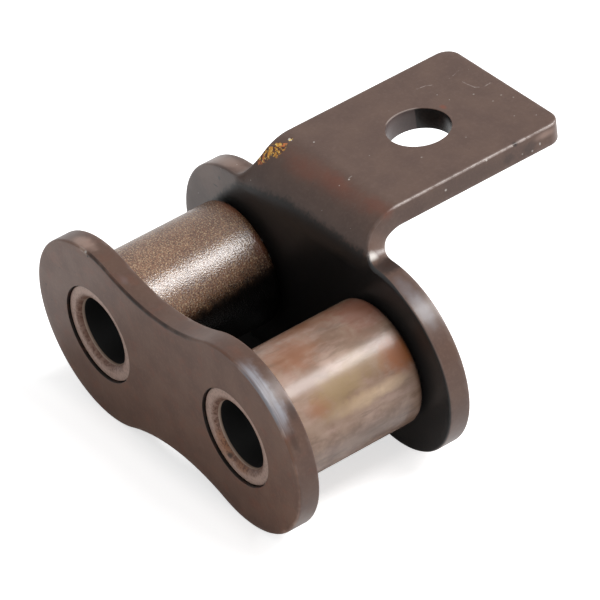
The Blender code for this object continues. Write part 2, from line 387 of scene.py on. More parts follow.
def blank_tabbed_plate():
    """The rear plate with its tab still straight up, and its three holes."""
    half = TAB_WIDTH / 2
    root_x = half + TAB_ROOT_RADIUS
    root_up = math.sqrt((LOBE_RADIUS + TAB_ROOT_RADIUS) ** 2 - (PITCH / 2 - root_x) ** 2)
    lobe_end = math.atan2(root_up, root_x - PITCH / 2)
    root_z = PITCH_LINE_Z + root_up
    corner_x = half - TAB_CORNER_RADIUS
    corner_z = blank_height(TAB_END_Y) - TAB_CORNER_RADIUS
    plate = begin_outline("tabbed_side_plate", TABBED_NEAR_Y)
    draw_arc(0, PITCH_LINE_Z - WAIST_DROP, WAIST_RADIUS, 2 * WAIST_LEAN)
    draw_arc(RIGHT_AXIS.x, PITCH_LINE_Z, LOBE_RADIUS, -math.pi / 2 - WAIST_LEAN - lobe_end)
    draw_arc(root_x, root_z, TAB_ROOT_RADIUS, lobe_end)
    draw_straight(0, corner_z - root_z)
    draw_arc(corner_x, corner_z, TAB_CORNER_RADIUS, -math.pi / 2)
    draw_straight(-2 * corner_x, 0)
    draw_arc(-corner_x, corner_z, TAB_CORNER_RADIUS, -math.pi / 2)
    draw_straight(0, root_z - corner_z)
    draw_arc(-root_x, root_z, TAB_ROOT_RADIUS, lobe_end)
    draw_arc(LEFT_AXIS.x, PITCH_LINE_Z, LOBE_RADIUS, -math.pi / 2 - WAIST_LEAN - lobe_end)
    fill_and_thicken()
    tumble(plate)
    for axis in (LEFT_AXIS, RIGHT_AXIS):
        punch(plate, axis.x, axis.z, BUSH_RADIUS + PRESS_GAP)
    punch(plate, 0, blank_height(CHAIN_PLANE_Y + TAB_HOLE_REACH), TAB_HOLE_RADIUS)
    return plate


def fold_share(x):
    """How far the sheet follows the fold: fully across the tab, and not at all on the lobes."""
    beyond = (abs(x) - TAB_WIDTH / 2) / TAB_ROOT_RADIUS
    share = 1.0 - min(max(beyond, 0.0), 1.0)
    return share * share * (3 - 2 * share)


def fold_tab(plate):
    """Folds the tab back through a right angle, about an axis behind the plate."""
    edit(plate)
    for step in range(BEND_STEPS + 1):
        height = BEND_START_Z + BEND_LENGTH * step / BEND_STEPS
        bpy.ops.mesh.select_all(action="SELECT")
        bpy.ops.mesh.bisect(plane_co=(0, 0, height), plane_no=(0, 0, 1))
    for side in (-1, 1):
        for step in range(FADE_STEPS + 1):
            x = side * (TAB_WIDTH / 2 + TAB_ROOT_RADIUS * step / FADE_STEPS)
            select(plate, "FACE", lambda face: face.calc_center_median().z > BEND_START_Z)
            bpy.ops.mesh.bisect(plane_co=(x, 0, 0), plane_no=(1, 0, 0))
    deselect()
    for vert in plate.data.vertices:
        run = vert.co.z - BEND_START_Z
        if run > 0:
            angle = min(run / BEND_MEAN_RADIUS, math.pi / 2)
            straight = max(run - BEND_LENGTH, 0.0)
            radius = BEND_AXIS_Y - vert.co.y
            folded_z = BEND_START_Z + radius * math.sin(angle)
            folded_y = BEND_AXIS_Y - radius * math.cos(angle) + straight
            share = fold_share(vert.co.x)
            vert.co.z += share * (folded_z - vert.co.z)
            vert.co.y += share * (folded_y - vert.co.y)
    smooth(plate)
    return plate


def build_link():
    """All six pieces, each in the place of its solid."""
    pieces = {
        "plain_link_plate": blank_plain_plate(),
        "attachment_link_plate": fold_tab(blank_tabbed_plate()),
    }
    for side, axis in (("left", LEFT_AXIS), ("right", RIGHT_AXIS)):
        bush, roller = side + "_bushing", side + "_roller"
        pieces[bush] = turned_ring(side + "_pressed_bush", bush, axis, *BUSH_SECTION)
        pieces[roller] = turned_ring(side + "_turned_roller", roller, axis, *ROLLER_SECTION)
    return pieces


def add_node(tree, kind, sources=None, **settings):
    """Adds a shader node, sets it and feeds its inputs, and gives its outputs."""
    made = tree.nodes.new(kind)
    for name, value in settings.items():
        setattr(made, name, value)
    for socket, source in (sources or {}).items():
        feed(tree, made.inputs[socket], source)
    return made.outputs


def feed(tree, socket, source):
    """Links a signal to a socket, or sets the socket to a fixed value."""
    if isinstance(source, Signal):
        tree.links.new(source.socket, socket)
    else:
        socket.default_value = source


class Signal:
    """What shader nodes work out at every point of a surface."""

    def __init__(self, tree, socket):
        self.tree = tree
        self.socket = socket


class Value(Signal):
    """A number or a mask at every point, with the arithmetic between two of them."""

    def math(self, operation, *others):
        """One step of arithmetic, with this value first."""
        return self.step(operation, self, *others)

    def step(self, operation, *values):
        sources = dict(enumerate(values))
        outputs = add_node(self.tree, "ShaderNodeMath", sources, operation=operation)
        return Value(self.tree, outputs[0])

    def __add__(self, other):
        return self.math("ADD", other)

    def __sub__(self, other):
        return self.math("SUBTRACT", other)

    def __mul__(self, other):
        return self.math("MULTIPLY", other)

    def __rsub__(self, other):
        return self.step("SUBTRACT", other, self)

    def __rtruediv__(self, other):
        return self.step("DIVIDE", other, self)

    def ease(self, start, end, low=0.0, high=1.0):
        """Turns smoothly from low to high as this value passes from start to end."""
        ends = {"Value": self, "From Min": start, "From Max": end, "To Min": low, "To Max": high}
        outputs = add_node(self.tree, "ShaderNodeMapRange", ends, interpolation_type="SMOOTHSTEP")
        return Value(self.tree, outputs["Result"])

    def join(self, y=0.0, z=0.0):
        """A place with this value as its X."""
        outputs = add_node(self.tree, "ShaderNodeCombineXYZ", {0: self, 1: y, 2: z})
        return Place(self.tree, outputs[0])

    def choose(self, first, second, how="MIX"):
        """The first colour where this mask is 0, and the second where it is 1."""
        sources = {0: self, 6: first, 7: second}
        outputs = add_node(self.tree, "ShaderNodeMix", sources, data_type="RGBA", blend_type=how)
        return Signal(self.tree, outputs[2])


class Place(Signal):
    """A place at every point, in millimetres, with the arithmetic between two of them."""

    def step(self, operation, sources):
        sources = {0: self, **sources}
        return add_node(self.tree, "ShaderNodeVectorMath", sources, operation=operation)

    def move(self, operation, second=(0.0, 0.0, 0.0)):
        """One step of arithmetic that gives another place."""
        return Place(self.tree, self.step(operation, {1: second})["Vector"])

    def __add__(self, other):
        return self.move("ADD", other)

    def __sub__(self, other):
        return self.move("SUBTRACT", other)

    def __mul__(self, other):
        return self.move("MULTIPLY", other)

    def __truediv__(self, other):
        return self.move("DIVIDE", other)

    def scale(self, factor):
        """This place, drawn out from the origin."""
        return Place(self.tree, self.step("SCALE", {"Scale": factor})["Vector"])

    def measure(self, operation="LENGTH", second=(0.0, 0.0, 0.0)):
        """How long the way to this place is, or its dot product with another."""
        return Value(self.tree, self.step(operation, {1: second})["Value"])

    def split(self):
        """This place's three coordinates."""
        outputs = add_node(self.tree, "ShaderNodeSeparateXYZ", {0: self})
        return [Value(self.tree, socket) for socket in outputs]

    def noise(self, scale, detail=3.0):
        """Cloudy noise with this many lumps to a millimetre."""
        sources = {"Vector": self, "Scale": scale, "Detail": detail}
        return Value(self.tree, add_node(self.tree, "ShaderNodeTexNoise", sources)["Fac"])

    def effect(self, name, **values):
        """One of the shared effects, with its own values."""
        sources = {"Place": self, **values}
        outputs = add_node(self.tree, "ShaderNodeGroup", sources, node_tree=GROUPS[name])
        return Value(self.tree, outputs[0])


class Finish:
    """A material: its shader, and the place on the link in millimetres."""

    def __init__(self, name):
        self.material = bpy.data.materials.new(name)
        self.material.use_nodes = True
        self.tree = self.material.node_tree
        self.shader = self.tree.nodes["Principled BSDF"]
        place = Place(self.tree, add_node(self.tree, "ShaderNodeTexCoord")["Object"])
        self.place = place.scale(1 / MM)

    def set(self, sources):
        """Links signals to the shader's inputs, or sets them to fixed values."""
        for name, source in sources.items():
            feed(self.tree, self.shader.inputs[name], source)

    def raise_grain(self, size, strength, more=0.0):
        """Raises a tumbled grain, and more with it, in how the surface catches the light."""
        height = self.place.effect("Tumbled grain", Size=size) + more
        sources = {"Strength": strength, "Distance": GRAIN_HEIGHT, "Height": height}
        bump = add_node(self.tree, "ShaderNodeBump", sources)
        self.set({"Normal": Signal(self.tree, bump[0])})


def shade(red, green, blue):
    """A colour as a screen shows it, from 0 to 255, made linear."""
    return tuple((level / 255) ** 2.2 for level in (red, green, blue)) + (1.0,)


def share_effect(name, inputs, output, build):
    """Makes an effect that several finishes share, with named inputs and one named output."""
    tree = bpy.data.node_groups.new(name, "ShaderNodeTree")
    starts = {"Place": (0.0, 0.0, 0.0), **inputs}
    for socket, start in starts.items():
        kind = "NodeSocketVector" if isinstance(start, tuple) else "NodeSocketFloat"
        tree.interface.new_socket(socket, in_out="INPUT", socket_type=kind).default_value = start
    tree.interface.new_socket(output, in_out="OUTPUT", socket_type="NodeSocketFloat")
    given = tree.nodes.new("NodeGroupInput").outputs
    kinds = [Place if isinstance(start, tuple) else Value for start in starts.values()]
    signals = [kind(tree, given[socket]) for kind, socket in zip(kinds, starts)]
    feed(tree, tree.nodes.new("NodeGroupOutput").inputs[output], build(*signals))
    GROUPS[name] = tree


def tarnish(place, size, low, high):
    """Broad cloudy mottling: lumps of a size in millimetres, 0 to 1 between two noise levels."""
    return place.noise(1.0 / size, 5.0).ease(low, high)


def tumbled_grain(place, size):
    """Fine tumbled grain, as a height."""
    return place.noise(1.0 / size, 2.0)


def broken_edge_band(place, edge, reach, breaks, size):
    """A band along an edge, broken up so that it comes and goes along it: for rubbing, painted
    highlights and painted shade.
    """
    lumps = place.noise(1.0 / size, 3.0) - NOISE_MIDDLE
    start = 1.0 - reach
    return (edge + lumps * breaks).ease(start, start + WORN_EDGE_FADE)


def scratch(place, start, end, width, waver):
    """One scratch between two places, wavering and broken along its length."""
    sources = {"Vector": place, "Scale": SCRATCH_WAVES, "Detail": 2.0}
    wander = Place(place.tree, add_node(place.tree, "ShaderNodeTexNoise", sources)["Color"])
    wander = (wander - (NOISE_MIDDLE,) * 3).scale(waver)
    along = end - start
    out = place + wander - start
    run = out.measure("DOT_PRODUCT", along).math("DIVIDE", along.measure("DOT_PRODUCT", along))
    run = run.math("MAXIMUM", 0.0).math("MINIMUM", 1.0)
    stroke = (out - along.scale(run)).measure().ease(width, 0.0)
    return stroke * place.noise(SCRATCH_GAPS).ease(*SCRATCH_GAP_FADE)


def patch(place, centre, radii, softness, raggedness, size):
    """A ragged patch round a centre, with its three radii."""
    away = ((place - centre) / radii).measure()
    lumps = place.noise(1.0 / size, 4.0) - NOISE_MIDDLE
    return (away + lumps * raggedness).ease(1.0, 1.0 - softness)


def specks(place, spacing, radius, share):
    """Scattered small dots, each in its own cell, of which only a share shows."""
    tree = place.tree
    dots = add_node(tree, "ShaderNodeTexVoronoi", {"Vector": place, "Scale": 1.0 / spacing})
    colour = Signal(tree, dots["Color"])
    chance = Value(tree, add_node(tree, "ShaderNodeSeparateColor", {0: colour})[0])
    away = Value(tree, dots["Distance"]) * spacing
    return away.ease(radius, radius * SPECK_CORE) * chance.math("LESS_THAN", share)


def turning_lines(place, spacing):
    """Fine lines round a turned piece, as a height: a row of ridges along its axis."""
    return (place * RIDGE_STRETCH).noise(1.0 / spacing, 2.0)


# Colours of the steels, of what lies on them, and of the light and shade painted on them, as a
# screen shows them
OXIDE_DARK = shade(87, 65, 56)
OXIDE_LIGHT = shade(97, 74, 63)
OXIDE_FRECKLE = shade(117, 94, 84)
OXIDE_RED = shade(122, 66, 46)
OXIDE_DIRT = shade(52, 40, 36)
ROUNDING_SHADE_BROWN = shade(48, 35, 30)
HIGHLIGHT_GREY = shade(146, 144, 150)
HOLE_GREY = shade(84, 78, 80)
RUST_BROWN = shade(84, 48, 26)
RUST_GOLD = shade(226, 158, 60)
RUST_ORANGE = shade(208, 120, 66)
RUST_YELLOW = shade(250, 214, 120)
RUBBED_AND_HIGHLIT_STEEL = shade(176, 162, 156)
SPECK_PALE = shade(215, 208, 200)
# Near black for painted shade; the second also for real oil spots and pits
INNER_FACE_SHADE = shade(42, 41, 41)
OIL_AND_SHADE_BLACK = shade(16, 15, 15)
BUSH_ORANGE = shade(166, 110, 70)
BUSH_SHADE = shade(96, 62, 48)
BUSH_LIP_HIGHLIGHT = shade(205, 180, 162)
BUSH_BROWN = shade(122, 86, 69)
BUSH_PALE = shade(192, 162, 148)
BRONZE_DARK = shade(122, 90, 69)
BRONZE_LIGHT = shade(152, 124, 104)
GRAINY_DARK = shade(116.7, 75.5, 50.9)
GRAINY_LIGHT = shade(145.4, 104.1, 76.7)
BRONZE_PORE = shade(58, 34, 22)
BRONZE_GLINT = shade(232, 200, 158)
BRONZE_RED = shade(132, 76, 52)
BRONZE_ORANGE = shade(150, 84, 36)
BRONZE_OLIVE = shade(148, 122, 82)
BRONZE_PINK = shade(176, 146, 132)
BRONZE_SHADE = shade(92, 66, 44)

# Painted light: how much warmer and lighter the plain plate's outer face is painted than its
# edges, as a factor
NEAR_FACE_PAINTED_LIGHT = (1.60, 1.46, 1.30, 1.0)

# How the steels shine: how metallic they are, how rough, and the clear film of oil on them
PLATE_SPECULAR = 0.36
PLATE_ROUGH = 0.32
RUBBED_ROUGH = 0.28
PLATE_COAT_ROUGH = 0.34
TABBED_PLATE_COAT = 0.31
PLAIN_PLATE_COAT = 0.12
BUSH_METAL = 0.1
BUSH_ROUGH = 0.4
BORE_ROUGH = 0.6
GRAINY_METAL = 0.0
GRAINY_IOR = 1.9
GRAINY_ROUGH = 0.22
SMOOTH_METAL = 0.15
SMOOTH_ROUGH = 0.5
SMOOTH_COAT_IOR = 1.5
SMOOTH_COAT_ROUGH = 0.22
ROUGH_SPREAD = 0.03

# How each surface is grained: the size of its lumps in millimetres, and its strength
GRAIN_HEIGHT = 0.05 * MM
PLATE_GRAIN = (0.16, 0.12)
BUSH_GRAIN = (0.2, 0.15)
GRAINY_GRAIN = (0.14, 0.6)
SMOOTH_GRAIN = (0.2, 0.08)
TURNING_SHARE = 0.4

# How strongly each mark is laid over its steel
FRECKLE_STRENGTH = 0.22
PIT_STRENGTH = 0.35
MOTTLING_STRENGTH = 0.2
DOT_STRENGTH = 0.5
HOLE_WALL_STRENGTH = 0.6
HOLE_RIM_STRENGTH = 0.6
DULL_STRENGTH = 0.9
RAY_STRENGTH = 0.35
LIP_HIGHLIGHT_STRENGTH = 0.85
MOUTH_GRAIN_STRENGTH = (0.25, 0.75)
PORE_STRENGTH = 0.7
GLINT_STRENGTH = 0.6
RIM_SHADE_STRENGTH = 0.8
PINK_STREAK_STRENGTH = 0.5
DARK_STREAK_STRENGTH = 0.45

# Places on the link, in millimetres from its origin
AXIS_X = PITCH / 2 / MM
AXIS_Z = PITCH_LINE_Z / MM
LOBE_EDGE = LOBE_RADIUS / MM
MIDDLE_Y = CHAIN_PLANE_Y / MM
NEAR_FACE_Y = PLAIN_NEAR_Y / MM
PLATE_HOLE_EDGE = (BUSH_RADIUS + PRESS_GAP) / MM
BUSH_BORE_EDGE = BUSH_BORE_RADIUS / MM
BUSH_END = (TABBED_FAR_Y - CHAIN_PLANE_Y) / MM
ROLLER_END = (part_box("left_roller")[1].y - CHAIN_PLANE_Y) / MM
TAB_TOP = TAB_TOP_Z / MM
TAB_SIDE = TAB_WIDTH / 2 / MM
TAB_HOLE_Y = (CHAIN_PLANE_Y + TAB_HOLE_REACH) / MM
TAB_HOLE_EDGE = TAB_HOLE_RADIUS / MM
BEND_AXIS_MM = (BEND_AXIS_Y / MM, BEND_START_Z / MM)
BEND_OUTER_RADIUS = (TAB_BEND_RADIUS + PLATE_THICKNESS) / MM

# Fades: the place or the level at which each mask is 0, and the one at which it is 1
PLATE_HOLE_WALL = (PLATE_HOLE_EDGE + 0.06, PLATE_HOLE_EDGE + 0.01)
OUTER_FACE = (NEAR_FACE_Y + 0.2, NEAR_FACE_Y + 0.05)
TAB_LINE_ACROSS = (TAB_SIDE - 0.24, TAB_SIDE - 0.1)
TAB_LINE_UP = (TAB_TOP - 0.22, TAB_TOP - 0.1)
ROUNDING_SHADE_ACROSS = (NEAR_FACE_Y + 0.26, NEAR_FACE_Y + 0.16)
ROUNDING_SHADE_UP = (AXIS_Z, AXIS_Z + 2.0)
ROUNDING_SHADE_LEFT_END = (-9.5, -8.5)
ROUNDING_SHADE_RIGHT_END = (7.0, 3.0)
ROUNDING_SHADE_DULLING = (0.0, 0.5)
CREST_RIGHT_END = (0.45, 0.75)
CREST_LEFT_END = (1.42, 1.15)
CREST_OUT = (LOBE_EDGE - 0.3, LOBE_EDGE - 0.1)
CREST_ACROSS = (NEAR_FACE_Y + 1.5, NEAR_FACE_Y + 0.5)
SHADE_IN_BEND = (BEND_OUTER_RADIUS - 0.12, BEND_OUTER_RADIUS - 0.03)
SHADE_ACROSS = (BEND_AXIS_MM[0], BEND_AXIS_MM[0] - 0.5)
SHADE_BORDER = (-0.45, 0.35)
TAB_HOLE_WALL = (TAB_HOLE_EDGE + 0.06, TAB_HOLE_EDGE + 0.01)
TAB_HOLE_DOWN = (TAB_TOP - 0.02, TAB_TOP - 0.08)
FAR_WALL_RIGHT_END = (0.5, 0.56)
FAR_WALL_LEFT_END = (2.0, 1.85)
HOLE_RIM_OUT = (TAB_HOLE_EDGE + 0.12, TAB_HOLE_EDGE + 0.06)
HOLE_RIM_UP = (TAB_TOP - 0.12, TAB_TOP - 0.04)
HOLE_RIM_LEFT = (-2.0, -2.5)
BUSH_MOUTH = (BUSH_BORE_EDGE + 0.75, BUSH_BORE_EDGE + 0.15)
BUSH_LIP_OUT = (BUSH_BORE_EDGE + 0.08, BUSH_BORE_EDGE + 0.03)
BUSH_BORE_WALL = (BUSH_BORE_EDGE + 0.04, BUSH_BORE_EDGE + 0.01)
BUSH_BORE_DEPTH = (BUSH_END - 0.75, BUSH_END - 0.85)
ROLLER_SHADED_RIM = (ROLLER_END - 0.45, ROLLER_END - 0.1)

# The rubbed line along the tab, with a painted highlight: its weakest and strongest, and the wear
# on every other edge
TAB_LINE_STRENGTH = (0.3, 0.85)
OTHER_EDGES_WORN = 0.12

# The painted highlight on the plain plate's crest: how ragged its border is, and its streaks round
# and across the edge
CREST_LUMPS = 1.1
CREST_RAGGED = 1.6
CREST_STREAKS = (2.0, 5.0, 1.0)
CREST_STREAK_FADE = (0.35, 0.6)
CREST_STREAK_LOW = 0.55

# The painted shade's upper border: its top, and two lines that it falls below towards the left,
# each as its rise to a millimetre and its height at the middle of the link
SHADE_TOP = 17.45
SHADE_LINES = ((0.19, 18.0), (0.91, 24.56))
SHADE_LUMPS = 2.5
SHADE_RAGGED = 0.9

# The dull, dark stretch of the attachment plate's edge, just right of the tab's root
DULL_CENTRE = (9.7, -1.7, 16.9)
DULL_RADII = (1.3, 2.4, 0.8)

# Painted shade along the left roller's lower inner side
ROLLER_SHADE_CENTRE = (-4.0, -2.0, 6.6)
ROLLER_SHADE_RADII = (5.0, 24.0, 5.2)

# Rays on the bushes' ends, and streaks along the right roller
BUSH_RAYS = 1.6
BUSH_RAY_FADE = (0.4, 0.65)
PINK_STREAKS = (1.0, 0.35, 1.0)
DARK_STREAKS = (1.0, 0.25, 1.0)

# How far the noise of a second kind of mark lies from that of the first
NOISE_OFFSET = (7.0, 3.0, 5.0)

# Patches: centre, radii, colour and strength
PLAIN_PLATE_PATCHES = (
    ((16.0, -16.3, 13.9), (1.0, 0.6, 1.3), OXIDE_DIRT, 0.6),
    # Painted highlight in grey on the top edge
    ((-4.9, -17.2, 16.2), (1.1, 0.5, 0.8), HIGHLIGHT_GREY, 0.2),
    # A painted highlight where the top edge's highlight ends
    ((-10.5, -17.2, 16.8), (2.2, 0.9, 0.8), BUSH_PALE, 0.45),
    ((-9.3, -17.85, 16.8), (0.2, 0.2, 0.12), SPECK_PALE, 0.9),
    ((-9.0, -17.9, 16.55), (0.16, 0.2, 0.16), OIL_AND_SHADE_BLACK, 0.9),
    ((-16.7, -17.9, 9.8), (0.12, 0.2, 0.16), OIL_AND_SHADE_BLACK, 0.7),
    ((-16.2, -17.9, 8.5), (0.1, 0.2, 0.12), OIL_AND_SHADE_BLACK, 0.7),
    ((-13.9, -17.9, 12.9), (0.1, 0.2, 0.1), OIL_AND_SHADE_BLACK, 0.6),
    ((17.3, -17.2, 12.2), (0.9, 0.5, 1.8), OXIDE_DIRT, 0.5),
)
TABBED_PLATE_PATCHES = (
    ((0.4, -0.3, 19.6), (9.5, 1.5, 1.3), OXIDE_RED, 0.3),
    ((-2.9, -0.9, 19.35), (2.8, 1.2, 1.0), OXIDE_RED, 0.3),
    ((1.0, -0.1, 19.7), (2.6, 1.0, 0.9), OXIDE_RED, 0.3),
    ((6.3, 0.2, 19.8), (2.4, 1.1, 0.9), OXIDE_RED, 0.35),
    ((-0.85, 12.15, TAB_TOP), (0.5, 0.35, 0.3), OXIDE_RED, 0.7),
    # The next two rows are painted highlights in grey on the edge, right of the tab
    ((12.4, -2.3, 16.3), (2.2, 0.9, 1.0), HIGHLIGHT_GREY, 0.25),
    ((14.3, -2.2, 15.1), (2.2, 0.9, 2.0), HIGHLIGHT_GREY, 0.42),
    # A painted highlight on the edge at the tab's right root
    ((8.4, -2.3, 17.3), (0.55, 0.6, 0.6), SPECK_PALE, 0.6),
    ((-12.0, -2.2, 16.5), (4.5, 0.9, 2.2), BUSH_PALE, 0.3),
    ((-13.5, -3.1, 15.0), (2.8, 0.5, 3.4), BRONZE_PINK, 0.3),
    ((7.5, 8.0, 18.9), (0.3, 9.0, 1.3), OXIDE_DIRT, 0.25),
    ((7.5, 14.3, 18.9), (0.3, 1.1, 0.8), OXIDE_DIRT, 0.5),
    ((7.5, 12.2, 18.9), (0.3, 0.8, 0.6), OXIDE_DIRT, 0.4),
    ((7.5, 16.0, 19.4), (0.3, 1.3, 0.5), BUSH_PALE, 0.35),
    ((7.5, 13.0, 19.9), (0.5, 0.35, 0.3), OXIDE_DIRT, 0.9),
    ((-12.6, -3.1, 14.2), (0.5, 0.3, 0.12), OIL_AND_SHADE_BLACK, 0.8),
    ((-11.8, -3.1, 15.3), (0.25, 0.3, 0.3), OIL_AND_SHADE_BLACK, 0.7),
    ((-11.9, -3.1, 13.7), (0.15, 0.3, 0.4), OIL_AND_SHADE_BLACK, 0.7),
    ((-4.43, 1.78, TAB_TOP), (0.11, 0.11, 0.11), SPECK_PALE, 1.0),
    ((1.75, 0.69, 19.9), (0.14, 0.14, 0.14), SPECK_PALE, 0.8),
    ((1.6, 0.95, 19.95), (0.06, 0.3, 0.1), SPECK_PALE, 0.5),
    ((7.45, 10.1, 19.85), (0.16, 0.14, 0.14), SPECK_PALE, 1.0),
    ((7.5, 12.7, 19.9), (0.1, 0.1, 0.1), SPECK_PALE, 0.8),
    ((1.23, 16.5, TAB_TOP), (0.12, 0.12, 0.1), SPECK_PALE, 0.4),
    ((1.43, 15.5, TAB_TOP), (0.1, 0.1, 0.1), SPECK_PALE, 0.35),
    ((-0.48, 15.0, TAB_TOP), (0.12, 0.12, 0.1), SPECK_PALE, 0.4),
    ((2.2, 17.0, TAB_TOP), (0.1, 0.1, 0.1), SPECK_PALE, 0.35),
    ((4.35, 15.4, TAB_TOP), (0.1, 0.1, 0.1), SPECK_PALE, 0.35),
    ((3.57, 6.6, TAB_TOP), (0.12, 0.12, 0.1), SPECK_PALE, 0.35),
    ((0.3, 11.68, 19.1), (0.2, 0.3, 1.0), SPECK_PALE, 0.7),
    ((7.5, 15.4, 18.8), (0.2, 0.12, 0.2), SPECK_PALE, 0.6),
    ((7.5, 14.6, 18.5), (0.2, 0.12, 0.12), SPECK_PALE, 0.5),
    ((7.5, 13.6, 18.7), (0.2, 0.1, 0.1), SPECK_PALE, 0.4),
    ((7.5, 5.9, 19.1), (0.2, 0.14, 0.14), SPECK_PALE, 0.7),
)
BUSH_PATCHES = (
    ((7.3, -17.6, 6.4), (1.6, 0.8, 2.4), BUSH_ORANGE, 0.6),
    ((9.3, -17.6, 5.2), (1.4, 0.8, 0.7), BUSH_ORANGE, 0.5),
    ((7.8, -17.6, 5.6), (0.45, 0.5, 0.35), OIL_AND_SHADE_BLACK, 0.8),
    ((-12.9, -17.65, 4.9), (0.16, 0.3, 0.16), SPECK_PALE, 1.0),
    ((-12.7, -17.65, 5.15), (0.16, 0.3, 0.16), OIL_AND_SHADE_BLACK, 1.0),
    ((-12.6, -17.65, 4.7), (0.14, 0.3, 0.14), OIL_AND_SHADE_BLACK, 1.0),
)
ROLLER_PATCHES = (
    ((13.8, -4.6, 11.9), (2.0, 2.6, 2.3), BRONZE_ORANGE, 0.85),
    ((14.2, -12.6, 11.2), (1.3, 1.7, 1.4), BRONZE_ORANGE, 0.55),
    ((13.8, -10.6, 11.7), (1.8, 3.6, 1.6), BRONZE_OLIVE, 0.75),
    ((7.6, -9.4, 13.5), (2.2, 6.5, 1.4), BRONZE_ORANGE, 0.35),
    ((9.2, -4.8, 13.9), (3.6, 3.6, 1.4), BRONZE_RED, 0.8),
    ((10.2, -12.2, 13.9), (2.8, 3.4, 1.4), BRONZE_ORANGE, 0.5),
    # The next three rows are painted light on the right roller: a pale reflection, shade on its
    # lower side, and another pale reflection
    ((14.8, -6.2, 10.3), (1.2, 2.4, 0.8), BRONZE_GLINT, 0.3),
    ((14.6, -9.5, 7.0), (2.0, 9.0, 2.2), BRONZE_PORE, 0.4),
    ((14.7, -9.2, 10.2), (1.2, 3.4, 0.9), BRONZE_GLINT, 0.35),
    ((13.2, -8.0, 12.2), (2.4, 3.2, 1.6), BRONZE_OLIVE, 0.4),
    ((14.3, -11.4, 10.4), (1.6, 2.4, 1.0), BRONZE_OLIVE, 0.4),
    ((-9.6, -3.7, 13.9), (2.2, 1.0, 1.0), BRONZE_RED, 0.7),
    ((-5.6, -4.0, 12.2), (1.5, 0.9, 1.5), BRONZE_RED, 0.6),
    # The next two rows are painted glints at the left roller's far end
    ((-5.95, -3.45, 12.25), (0.3, 0.4, 0.3), SPECK_PALE, 1.0),
    ((-4.95, -3.55, 11.2), (0.25, 0.2, 0.4), SPECK_PALE, 0.5),
)

# Rust on the tab's left shoulder: centre, size and colour
RUST_FLECKS = (
    ((-7.2, -1.6, 18.8), 0.62, RUST_ORANGE),
    ((-6.97, -1.09, 19.23), 0.62, RUST_GOLD),
    ((-6.35, -0.52, 19.55), 0.75, RUST_GOLD),
    ((-6.07, -0.05, 19.74), 0.35, RUST_ORANGE),
    ((-6.2, 0.7, 19.95), 0.25, SPECK_PALE),
)

# Scratches on top of the tab: where each starts and ends there, and its strength
SCRATCHES = (
    ((-4.45, 12.2), (-4.36, 13.0), 0.8),
    ((-4.36, 13.0), (-3.9, 13.5), 0.9),
    ((-4.1, 15.1), (-3.6, 15.3), 0.7),
    ((-3.7, 15.0), (-4.1, 16.4), 0.5),
    ((-2.5, 15.5), (-1.3, 15.7), 0.5),
    ((-1.3, 15.7), (-0.75, 16.1), 0.6),
    ((-0.75, 16.1), (-0.8, 17.0), 0.6),
)


def add_patches(place, colour, patches):
    """Lays ragged patches over a colour, one by one."""
    for centre, radii, laid, strength in patches:
        spot = place.effect("Patch", Centre=centre, Radii=radii, Softness=0.8, Raggedness=0.7)
        colour = (spot * strength).choose(colour, laid)
    return colour


def off_axis(place):
    """How far a place lies from its own bush's axis, which way, and how far across the chain."""
    x, y, z = place.split()
    flat = (x.math("ABSOLUTE") - AXIS_X).join(z - AXIS_Z)
    return flat.measure(), flat.move("NORMALIZE"), y


def edge_measure(place):
    """The measure of edge and flat that a tumbled plate carries: 1 on its roundings."""
    found = add_node(place.tree, "ShaderNodeAttribute", attribute_name=EDGE_ATTRIBUTE)
    return Value(place.tree, found["Fac"])


def oxide_finish(name, rubbed_and_lit_at):
    """Brown oxide on a blanked plate: faintly clouded, freckled, rubbed bright along its edges, in
    places with a painted highlight, and with shade painted black on its bush holes' walls.
    """
    finish = Finish(name)
    place = finish.place
    clouds = place.effect("Tarnish", Size=2.5, Low=0.3, High=0.7)
    colour = clouds.choose(OXIDE_DARK, OXIDE_LIGHT)
    freckles = place.effect("Tarnish", Size=0.3, Low=0.45, High=0.75)
    colour = (freckles * FRECKLE_STRENGTH).choose(colour, OXIDE_FRECKLE)
    pits = place.effect("Specks", Spacing=0.9, Radius=0.1, Share=0.25)
    colour = (pits * PIT_STRENGTH).choose(colour, OXIDE_DIRT)
    rubbed_and_lit = place.effect("Edge band", Edge=edge_measure(place), Reach=0.2, Size=0.9)
    rubbed_and_lit = rubbed_and_lit * rubbed_and_lit_at(place)
    colour = rubbed_and_lit.choose(colour, RUBBED_AND_HIGHLIT_STEEL)
    # Painted shade: the walls of the bush holes, round the bushes, are painted near black
    colour = off_axis(place)[0].ease(*PLATE_HOLE_WALL).choose(colour, OIL_AND_SHADE_BLACK)
    rough = clouds.ease(0.0, 1.0, PLATE_ROUGH + ROUGH_SPREAD, PLATE_ROUGH - ROUGH_SPREAD)
    finish.raise_grain(*PLATE_GRAIN)
    rough = rubbed_and_lit.ease(0.0, 1.0, rough, RUBBED_ROUGH)
    finish.set({"Roughness": rough, "Coat Roughness": PLATE_COAT_ROUGH})
    finish.set({"Specular IOR Level": PLATE_SPECULAR})
    return finish, colour


def lightly_worn(place):
    """The plain plate's edges are rubbed evenly and only a little."""
    return place.effect("Tarnish", Size=3.0, Low=0.45, High=0.9)


